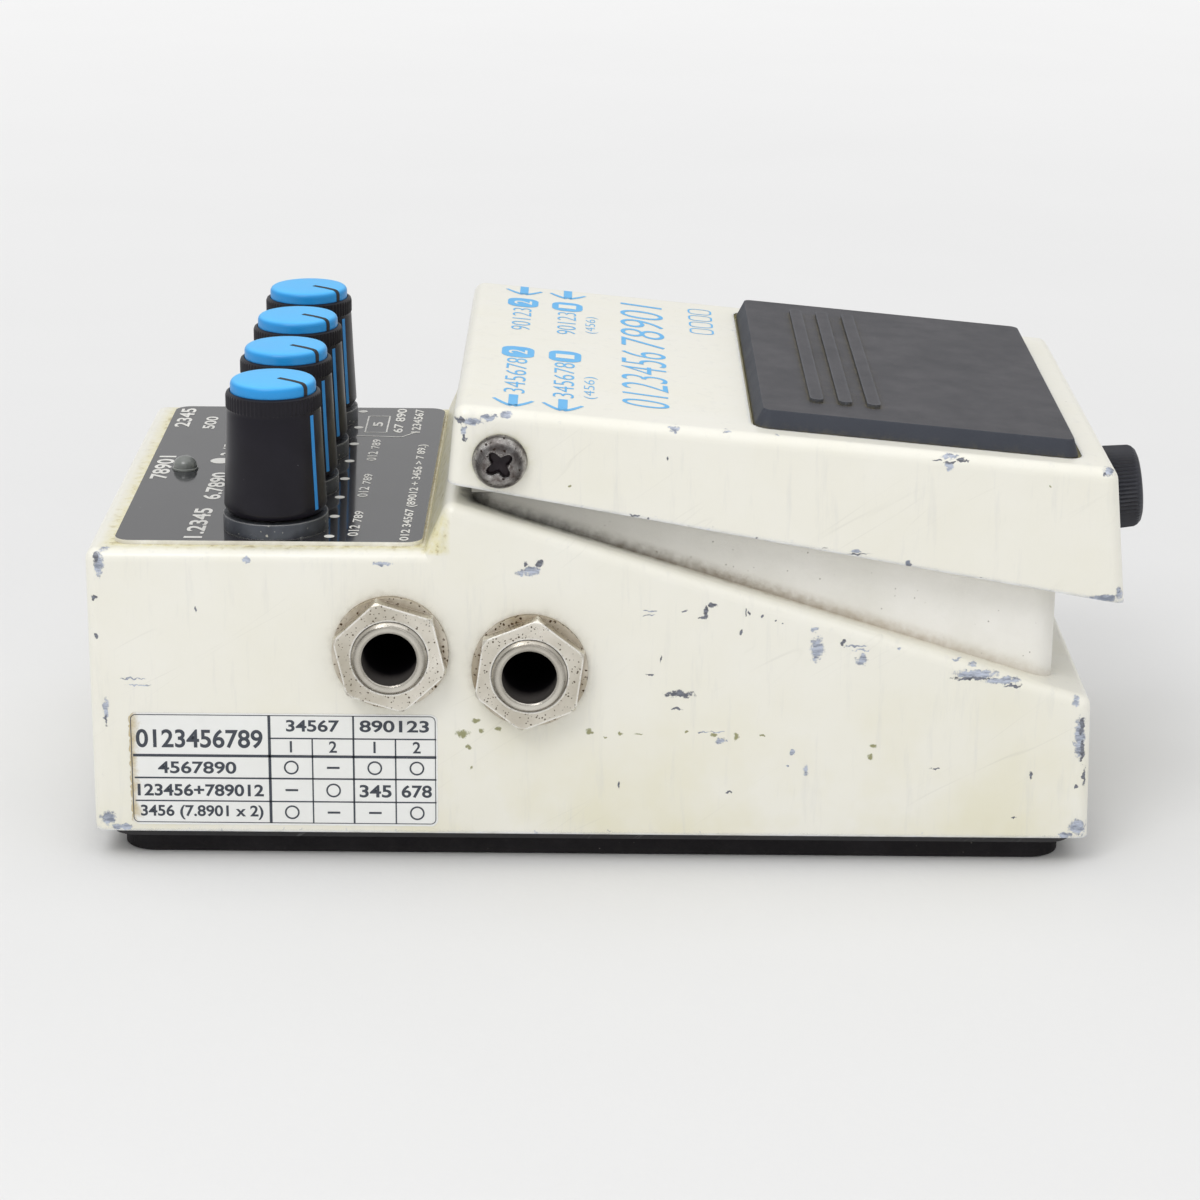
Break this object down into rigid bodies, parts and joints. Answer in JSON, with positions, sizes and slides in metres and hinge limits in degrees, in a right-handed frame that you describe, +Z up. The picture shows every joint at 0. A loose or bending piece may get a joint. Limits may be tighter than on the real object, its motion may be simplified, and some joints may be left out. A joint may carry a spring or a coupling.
{
  "type": "digital delay pedal",
  "caption": "Compact floor pedal with a sprung treadle over a battery tub, side jacks, rotary controls on a rear deck and a thumbscrew at the toe.",
  "frame": {"origin": "on the floor, under the middle of the overall length and width", "axes": "+X towards the input jacks, +Y towards the control panel, +Z up"},
  "size_m": [0.073, 0.1286, 0.0566],
  "materials": {
    "ivory_paint": "semi-gloss cream enamel, worn and chipped",
    "panel_paint": "dark grey satin print on thin aluminium",
    "pad_rubber": "moulded grey rubber, matte",
    "base_rubber": "black rubber sheet, matte",
    "knob_plastic": "black moulded plastic",
    "cap_plastic": "sky-blue moulded plastic",
    "nickel": "nickel plate, aged",
    "zinc_steel": "zinc-plated steel",
    "spring_steel": "oiled spring steel",
    "thumb_plastic": "black knurled plastic",
    "nylon": "natural nylon",
    "black_nylon": "black nylon",
    "jack_plastic": "black moulded plastic with a nickel collar",
    "socket_plastic": "black moulded plastic",
    "board": "green glass-epoxy board",
    "sheet_card": "insulating card",
    "chip_plastic": "black moulded package",
    "can": "sleeved aluminium can",
    "pot_metal": "stamped metal",
    "shaft_metal": "turned aluminium",
    "tin": "tinned brass",
    "lamp_plastic": "clear moulded lens",
    "battery_case": "plain lacquered steel can",
    "foam": "dark foam"
  },
  "bodies": {
    "pedal_housing": {"housing": "ivory_paint", "bottom_cover": "zinc_steel", "base_rubber": "base_rubber", "base_screws": "zinc_steel", "insulating_sheet": "sheet_card", "main_board": "board", "main_board_chips": "chip_plastic", "main_board_capacitors": "can", "main_board_screws": "zinc_steel", "board_link": "black_nylon", "panel_board": "board", "control_panel": "panel_paint", "check_led": "lamp_plastic", "led_holder": "nylon", "level_pot": "pot_metal", "feedback_pot": "pot_metal", "time_pot": "pot_metal", "mode_switch": "pot_metal", "pot_nuts": "nickel", "output_b_jack": "jack_plastic", "output_a_jack": "jack_plastic", "input_b_jack": "jack_plastic", "input_a_jack": "jack_plastic", "output_jack_board": "board", "input_jack_board": "board", "jack_washers": "nickel", "jack_nuts": "nickel", "jack_contacts": "tin", "power_socket": "socket_plastic", "power_pin": "tin", "hinge_screws": "nickel", "guide_bush": "nylon", "return_spring": "spring_steel", "footswitch_body": "black_nylon", "battery": "battery_case", "battery_terminals": "nickel", "battery_foam": "foam"},
    "treadle_unit": {"treadle": "ivory_paint", "treadle_pad": "pad_rubber", "hinge_bushes": "nylon", "spring_seat": "nylon", "switch_pusher": "black_nylon"},
    "thumbscrew_travel": {"thumbscrew_clip": "spring_steel"},
    "thumbscrew_turning": {"thumbscrew": "zinc_steel", "thumbscrew_head": "thumb_plastic"},
    "footswitch_button": {"footswitch_plunger": "nylon"},
    "level_control": {"level_shaft": "shaft_metal", "level_knob": "knob_plastic", "level_knob_cap": "cap_plastic"},
    "feedback_control": {"feedback_shaft": "shaft_metal", "feedback_knob": "knob_plastic", "feedback_knob_cap": "cap_plastic"},
    "time_control": {"time_shaft": "shaft_metal", "time_knob": "knob_plastic", "time_knob_cap": "cap_plastic"},
    "mode_control": {"mode_shaft": "shaft_metal", "mode_knob": "knob_plastic", "mode_knob_cap": "cap_plastic"}
  },
  "joints": [
    {"name": "treadle_hinge", "type": "hinge", "parent": "pedal_housing", "child": "treadle_unit", "pos_m": [0, 0.01589, 0.04975], "axis": [1, 0, 0], "range_deg": [0, 2.2], "stiffness_Nm_per_rad": 10.9, "springref_deg": -2.52, "deforming": ["return_spring"]},
    {"name": "footswitch_travel", "type": "slide", "parent": "pedal_housing", "child": "footswitch_button", "axis": [0, 0, -1], "range_m": [0, 0.001]},
    {"name": "thumbscrew_slide", "type": "slide", "parent": "treadle_unit", "child": "thumbscrew_travel", "axis": [0, -0.9951, 0.0988], "range_m": [0, 0.0028]},
    {"name": "thumbscrew_turn", "type": "hinge", "parent": "thumbscrew_travel", "child": "thumbscrew_turning", "pos_m": [0, -0.05672, 0.03736], "axis": [0, -0.9951, 0.0988], "range_deg": [0, 1440]},
    {"name": "level_turn", "type": "hinge", "parent": "pedal_housing", "child": "level_control", "pos_m": [-0.02475, 0.04269, 0.0391], "axis": [0, 0, -1], "range_deg": [0, 288]},
    {"name": "feedback_turn", "type": "hinge", "parent": "pedal_housing", "child": "feedback_control", "pos_m": [-0.00825, 0.04269, 0.0391], "axis": [0, 0, -1], "range_deg": [0, 288]},
    {"name": "time_turn", "type": "hinge", "parent": "pedal_housing", "child": "time_control", "pos_m": [0.00825, 0.04269, 0.0391], "axis": [0, 0, -1], "range_deg": [0, 288]},
    {"name": "mode_turn", "type": "hinge", "parent": "pedal_housing", "child": "mode_control", "pos_m": [0.02475, 0.04269, 0.0391], "axis": [0, 0, -1], "range_deg": [0, 288]}
  ],
  "couplings": [
    {"joint": "footswitch_travel", "follows": "treadle_hinge", "m_per_rad": 0.024695},
    {"joint": "thumbscrew_turn", "follows": "thumbscrew_slide", "rad_per_m": 8976}
  ]
}
